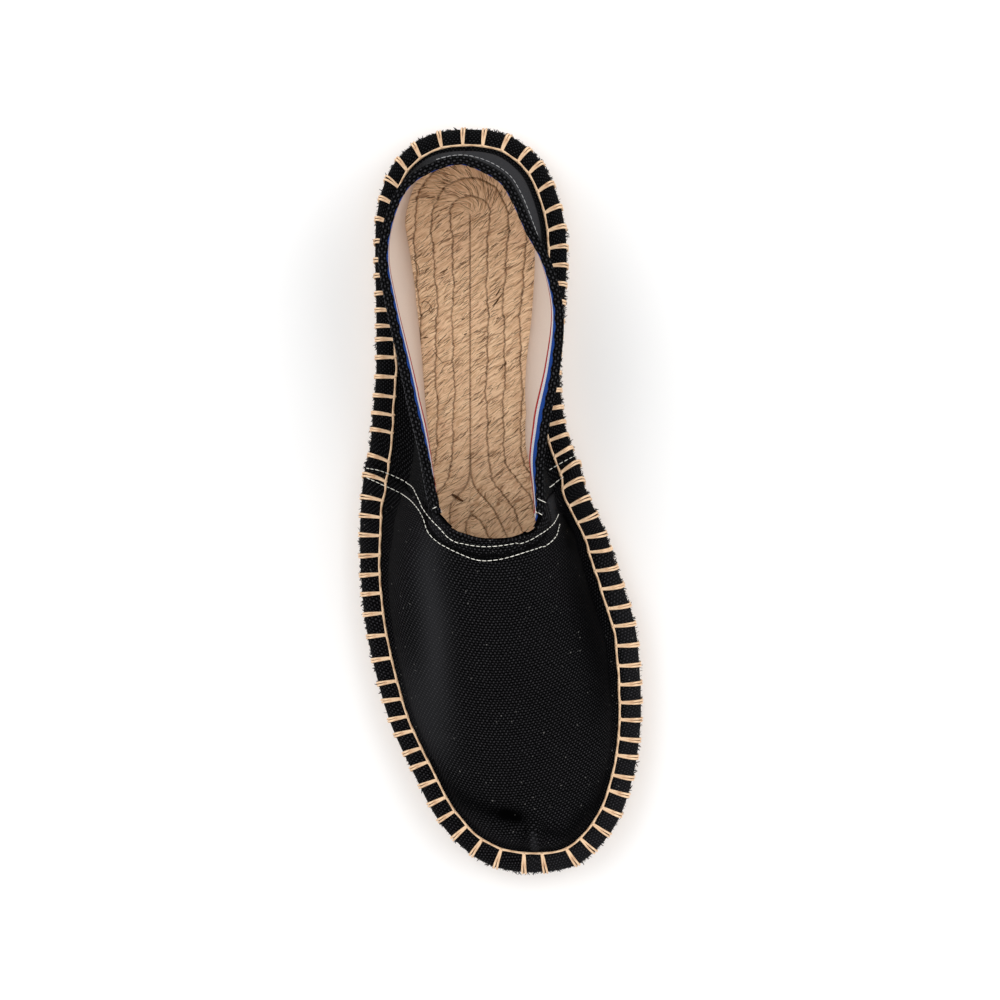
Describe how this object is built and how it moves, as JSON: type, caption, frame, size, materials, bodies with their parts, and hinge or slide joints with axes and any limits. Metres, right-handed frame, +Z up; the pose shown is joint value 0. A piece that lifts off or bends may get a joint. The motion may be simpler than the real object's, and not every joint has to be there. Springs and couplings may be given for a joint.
{
  "type": "espadrille",
  "caption": "Right canvas espadrille: black hollow upper with a lapped vamp and a turned-out flange, ribbed collar tape, braided jute sole, thin rubber outsole",
  "frame": {"origin": "bottom centre of the bounding box, on the floor under the sole", "axes": "+Z up, heel at +Y and toe at -Y, big-toe side at +X"},
  "size_m": [0.1061, 0.28, 0.067],
  "materials": {
    "canvas": "matte plain-weave cotton canvas",
    "tape": "matte ribbed cotton tape",
    "jute": "matte braided jute rope",
    "rubber": "matte crepe rubber"
  },
  "bodies": {
    "root": {"canvas_upper": "canvas", "collar_binding": "tape", "jute_sole": "jute", "rubber_outsole": "rubber"}
  },
  "joints": []
}
